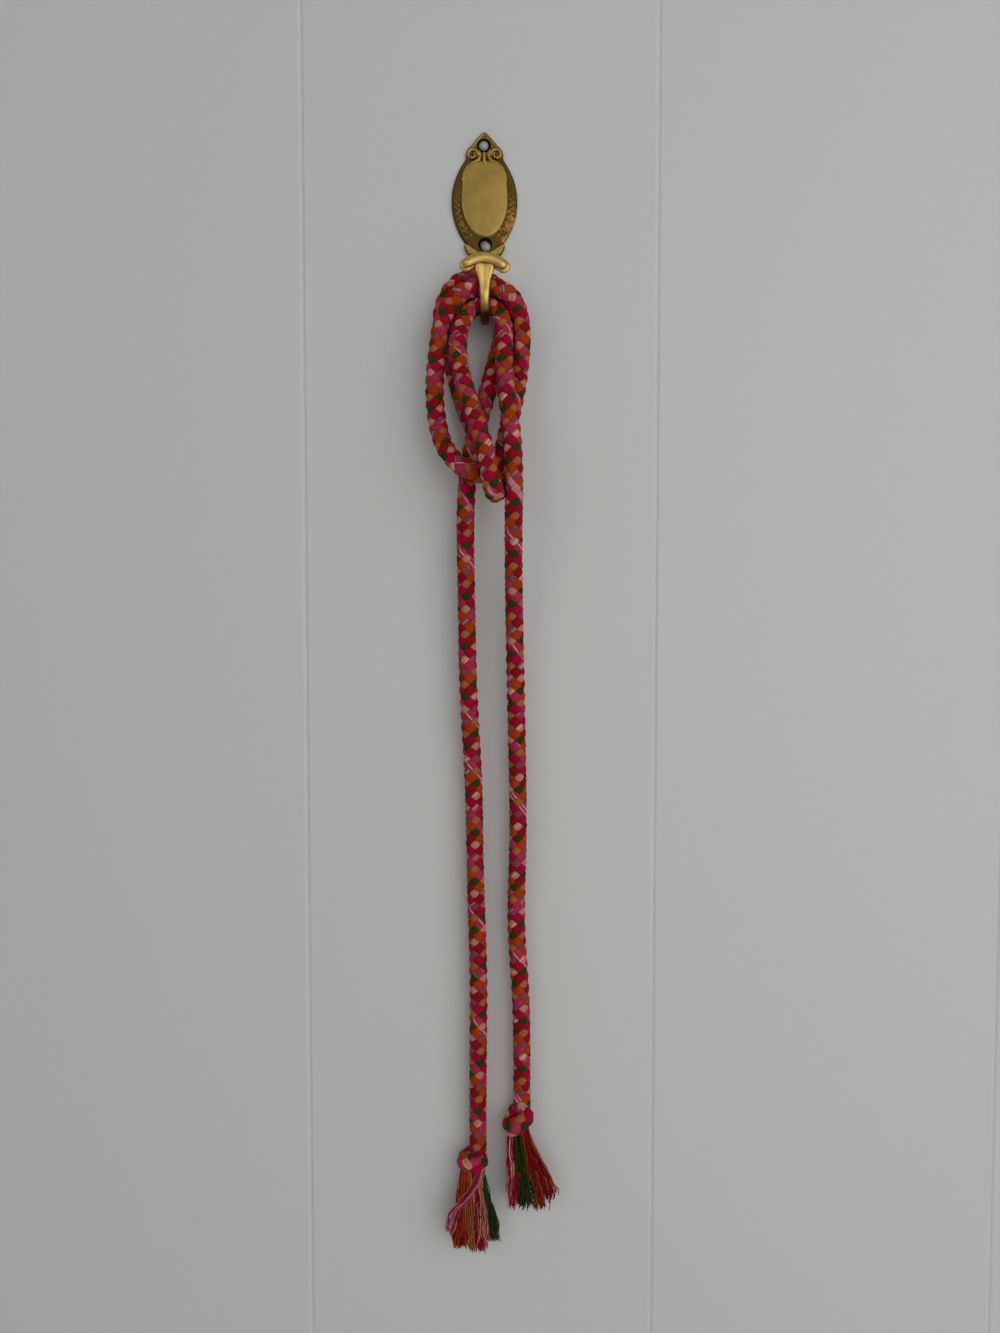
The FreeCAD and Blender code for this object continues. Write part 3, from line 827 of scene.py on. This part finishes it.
def plate_mesh():
    """The plate and its wings, with a front in relief and a flat back, as points and faces."""
    rows = np.arange(PLATE_TOP, PLATE_FOOT, -PLATE_STEP)
    columns = np.sin(np.linspace(-1, 1, PLATE_COLUMNS) * math.pi / 2)
    half = np.maximum(plate_half_width(rows), 0.25)
    x = half[:, None] * columns[None, :]
    z = np.repeat(rows[:, None], PLATE_COLUMNS, axis=1)
    outline = list(zip(half, rows)) + list(zip(-half[::-1], rows[::-1]))
    outline = [(0.0, PLATE_TOP)] + outline[::2] + [(0.0, PLATE_TOP)]
    y = -plate_height(x, z, outline)
    front = np.stack([x, y, z], axis=-1).reshape(-1, 3)
    back = np.stack([x, np.zeros(x.shape), z], axis=-1).reshape(-1, 3)
    count, wide = x.shape
    faces = []
    for i in range(count - 1):
        for j in range(wide - 1):
            a, b, c, d = i * wide + j, i * wide + j + 1, (i + 1) * wide + j + 1, (i + 1) * wide + j
            faces.append((a, d, c, b))
            faces.append(tuple(k + count * wide for k in (a, b, c, d)))
    rim = (list(range(wide)) + [i * wide + wide - 1 for i in range(1, count)]
           + [(count - 1) * wide + j for j in range(wide - 2, -1, -1)]
           + [i * wide for i in range(count - 2, 0, -1)])
    for a, b in zip(rim, rim[1:] + rim[:1]):
        faces.append((a, b, b + count * wide, a + count * wide))
    return np.vstack([front, back]), faces


def rings_mesh(rings):
    """A closed tube of rings, as points and faces."""
    count, sides = rings.shape[:2]
    faces = []
    for i in range(count - 1):
        for j in range(sides):
            k = (j + 1) % sides
            faces.append((i * sides + j, i * sides + k, (i + 1) * sides + k, (i + 1) * sides + j))
    faces.append(tuple(range(sides))[::-1])
    faces.append(tuple((count - 1) * sides + j for j in range(sides)))
    return rings.reshape(-1, 3), faces


def hook_rings():
    """The stem, the J and the arm, as rings of a flat bar with rounded edges."""
    centre_y = -BAR_THICK - HOOK_INNER
    reach = HOOK_INNER + BAR_THICK / 2
    stem = [(-BAR_THICK / 2, z, 0.0) for z in np.arange(STEM_TOP, HOOK_CENTRE, -0.8)]
    bend = [(centre_y + reach * math.cos(a), HOOK_CENTRE - reach * math.sin(a), a)
            for a in np.linspace(0, math.pi, 46)]
    arm = [(centre_y - reach, z, math.pi) for z in np.arange(HOOK_CENTRE + 0.4, ARM_TOP, 0.4)]
    around = np.linspace(0, FULL_TURN, 40, endpoint=False)
    rings = []
    for y, z, turn in stem + bend + arm:
        in_front = turn > math.pi / 2
        wide = (np.interp(z, [p[1] for p in ARM_OUTLINE], [p[0] for p in ARM_OUTLINE]) if in_front
                else np.interp(z, (-48.0, -26.0), (1.7, 2.2)))
        across = wide * np.sign(np.cos(around)) * np.abs(np.cos(around))**0.55
        out = -(BAR_THICK / 2) * np.sign(np.sin(around)) * np.abs(np.sin(around))**0.62
        if in_front:
            groove = float(smooth_step(np.array(z), -47.5, -41.5)) * 0.55
            swell = float(np.exp(-((z + 49.0) / 2.6)**2)) * 0.35
            front = np.sin(around) > 0
            out = out + front * (groove * np.exp(-(across / (0.42 * wide))**2)
                                 - swell * np.clip(1 - (across / wide)**2, 0, 1))
        # out points into the J, so the front of the arm is at minus out
        rings.append(np.stack([HOOK_MIDDLE + across, y - out * math.cos(turn), z + out * math.sin(turn)],
                              axis=-1))
    return np.array(rings)


def bar_rings(half_high, half_deep, y, ends):
    """A drooping bar across the hook's tip with rounded ends."""
    t = np.sin(np.linspace(-1, 1, 81) * math.pi / 2) * ends
    around = np.linspace(0, FULL_TURN, 36, endpoint=False)
    x, z = TIP_MIDDLE[0] + TIP_REACH * t, TIP_MIDDLE[1] - TIP_LEAN * t - TIP_DROOP * t * t
    line = np.stack([x, np.full(len(t), y), z], axis=-1)
    along = unit(np.gradient(line, axis=0))
    up = np.stack([-along[:, 2], np.zeros(len(t)), along[:, 0]], axis=-1)
    close = np.sqrt(np.clip(1 - np.clip((np.abs(t) - ends + 0.26) / 0.26, 0, 1)**2, 0.0004, 1))
    taper = close * (1 - 0.08 * (t / ends)**2)
    deep = np.array([0.0, 1.0, 0.0])
    tall = (half_high * taper)[:, None, None] * np.cos(around)[None, :, None] * up[:, None, :]
    thick = (half_deep * close)[:, None, None] * np.sin(around)[None, :, None] * deep
    return line[:, None, :] + tall + thick


def cylinder_mesh(name, place, radius, front, back):
    """A round cutter along Y."""
    angles = np.linspace(0, FULL_TURN, 72, endpoint=False)
    across, up = radius * np.cos(angles), radius * np.sin(angles)
    ring = np.stack([place[0] + across, np.zeros(72), place[1] + up], axis=-1)
    points, faces = rings_mesh(np.array([ring + (0, front, 0), ring + (0, back, 0)]))
    return solid(name, points, faces)


def solid(name, points, faces):
    """An object made of closed faces given in mm."""
    mesh = bpy.data.meshes.new(name)
    mesh.from_pydata(points * MM, [], faces)
    mesh.validate()
    obj = link(name, mesh)
    work = bmesh.new()
    work.from_mesh(mesh)
    bmesh.ops.recalc_face_normals(work, faces=work.faces)
    work.to_mesh(mesh)
    work.free()
    return obj


def cut(obj, cutter):
    """Take the cutter out of the object, and delete it."""
    modifier = obj.modifiers.new("hole", "BOOLEAN")
    modifier.operation = "DIFFERENCE"
    modifier.solver = "EXACT"
    modifier.object = cutter
    bpy.context.view_layer.update()
    shaped = bpy.data.meshes.new_from_object(obj.evaluated_get(bpy.context.evaluated_depsgraph_get()))
    obj.modifiers.clear()
    obj.data = shaped
    bpy.data.objects.remove(cutter)


def brass_piece(materials):
    """The casting: plate, wings, J and tip bar in one object. The second material is the bar's rim's."""
    obj = solid("brass_hook", *plate_mesh())
    for place in NAIL_HOLES:
        cut(obj, cylinder_mesh("recess", place, RECESS_RADIUS, CUTTER_FRONT, -RECESS_DEPTH))
        cut(obj, cylinder_mesh("pilot", place, PILOT_RADIUS, CUTTER_FRONT, CUTTER_BACK))
    work = bmesh.new()
    work.from_mesh(obj.data)
    for rings, finish in ((hook_rings(), 0), (bar_rings(*TIP_RIM), 1), (bar_rings(*TIP_ROLL), 0)):
        points, faces = rings_mesh(rings)
        corners = [work.verts.new(point * MM) for point in points]
        made = [work.faces.new([corners[k] for k in face]) for face in faces]
        for face in made:
            face.material_index = finish
        bmesh.ops.recalc_face_normals(work, faces=made)
    work.to_mesh(obj.data)
    work.free()
    obj.data.polygons.foreach_set("use_smooth", [True] * len(obj.data.polygons))
    obj.data.set_sharp_from_angle(angle=math.radians(40))
    obj.data.materials.clear()
    for material in materials:
        obj.data.materials.append(material)
    return obj


# ---------------------------------------------------------------- stage, lights and camera


def wall_material():
    """Pale matt paint, which is clear from behind so that it never hides the object."""
    material, tree, shader = node_tree("wall_paint")
    speckle = noise(tree, Scale=260.0, Detail=4.0)
    tone = mix_colours(tree, speckle, *PAINT)
    tree.links.new(tone, shader.inputs["Base Color"])
    shader.inputs["Roughness"].default_value = 0.6
    bump_from(tree, shader, speckle, 0.05, 0.2 * MM)
    faces = add(tree, "NewGeometry")
    clear = add(tree, "BsdfTransparent")
    choose = add(tree, "MixShader")
    tree.links.new(faces.outputs["Backfacing"], choose.inputs[0])
    tree.links.new(shader.outputs[0], choose.inputs[1])
    tree.links.new(clear.outputs[0], choose.inputs[2])
    tree.links.new(choose.outputs[0], tree.nodes["Material Output"].inputs["Surface"])
    return material


def stage_mesh(name, corners, faces, material):
    """A surface of the room."""
    mesh = bpy.data.meshes.new(name)
    mesh.from_pydata(corners, [], faces)
    mesh.materials.append(material)
    link(name, mesh)


def panelled_wall(material):
    """Upright boards with a shallow groove between them."""
    profile = [(-STAGE_REACH, 0)]
    for number in BOARDS:
        middle = GROOVE_X + number * BOARD_WIDTH
        profile += [(middle - GROOVE_HALF, 0), (middle - 0.3 * GROOVE_HALF, GROOVE_DEPTH),
                    (middle + 0.3 * GROOVE_HALF, GROOVE_DEPTH), (middle + GROOVE_HALF, 0)]
    profile.append((STAGE_REACH, 0))
    corners = [(x, y, z) for z in (FLOOR_Z, WALL_TOP) for x, y in profile]
    count = len(profile)
    faces = [(i, i + 1, count + i + 1, count + i) for i in range(count - 1)]
    stage_mesh("wall", corners, faces, material)


def area_light(name, place, target, size, power, colour):
    """A rectangular light that faces the target."""
    data = bpy.data.lights.new(name, "AREA")
    data.shape = "RECTANGLE"
    data.size, data.size_y = size
    data.energy = power
    data.color = colour
    obj = bpy.data.objects.new(name, data)
    obj.location = place
    obj.rotation_euler = (Vector(target) - Vector(place)).to_track_quat("-Z", "Y").to_euler()
    scene.collection.objects.link(obj)


def stage_and_light():
    """The wall, the floor, the lights and a world that is darker below."""
    paint = wall_material()
    panelled_wall(paint)
    floor = [(-STAGE_REACH, -FLOOR_DEPTH, FLOOR_Z), (STAGE_REACH, -FLOOR_DEPTH, FLOOR_Z),
             (STAGE_REACH, 0, FLOOR_Z), (-STAGE_REACH, 0, FLOOR_Z)]
    stage_mesh("floor", floor, [(0, 1, 2, 3)], paint)
    for light in LIGHTS:
        area_light(*light)
    world = bpy.data.worlds.new("studio")
    world.use_nodes = True
    tree = world.node_tree
    sky = tree.nodes["Background"]
    sky.inputs["Strength"].default_value = WORLD_STRENGTH
    split = tree.nodes.new("ShaderNodeSeparateXYZ")
    tree.links.new(add(tree, "TexCoord").outputs["Generated"], split.inputs[0])
    tone = mix_colours(tree, ramp(tree, split.outputs[2], -0.5, 0.6), WORLD_BELOW, WORLD_ABOVE)
    tree.links.new(tone, sky.inputs["Color"])
    scene.world = world


def camera():
    """The camera, level but for a slight look downwards."""
    data = bpy.data.cameras.new("camera")
    data.lens = CAMERA_LENS
    data.sensor_width = 36
    data.clip_start = 0.01
    obj = bpy.data.objects.new("camera", data)
    obj.location = CAMERA_PLACE
    obj.rotation_euler = (math.radians(90 - CAMERA_DOWN), 0, 0)
    scene.collection.objects.link(obj)
    scene.camera = obj
    scene.view_settings.view_transform = "Standard"


# ---------------------------------------------------------------- the object


braid = []
loose = {}
for name, colour in YARN_COLOURS.items():
    pale, share = YARN_PALE.get(name, colour), PALE_SHARE.get(name, 0.0)
    braid.append(yarn_material("braid_" + name, colour, pale, share, BRAID_YARNS, BRAID_LAY, BRAID_SHADES))
    loose[name] = yarn_material("yarn_" + name, colour, pale, 2 * share, YARN_PLIES, PLY_LAY, YARN_SHADES,
                                single=True)

cord, centre_line, cord_length = cord_piece(braid)
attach(cord, "cord")
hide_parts("cord")

for side, middle, turns, diameter, start in KNOTS:
    knot = knot_piece(side + "_knot_braid", middle, turns, diameter, start, braid)
    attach(knot, "cord")
    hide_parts(side + "_knot")

rng = random.Random(TASSEL_SEED)
for side, bundles in (("left", LEFT_BUNDLES), ("right", RIGHT_BUNDLES)):
    for name, start, finish, width, depth, count in bundles:
        bundle = yarn_bundle("%s_%s_yarns" % (side, name), [MM * v for v in start], [MM * v for v in finish],
                             MM * width, MM * depth, count, loose[name], rng)
        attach(bundle, "cord")
        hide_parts("%s_end_%s" % (side, name))

brass = brass_piece((brass_material("brass", 0.0), brass_material("brass_rim", 0.9)))
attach(brass, "hook")
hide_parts("wall_hook")

steel = steel_material()
for name in ("upper_nail", "lower_nail"):
    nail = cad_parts[name]
    nail.data.materials.clear()
    nail.data.materials.append(steel)

stage_and_light()
camera()
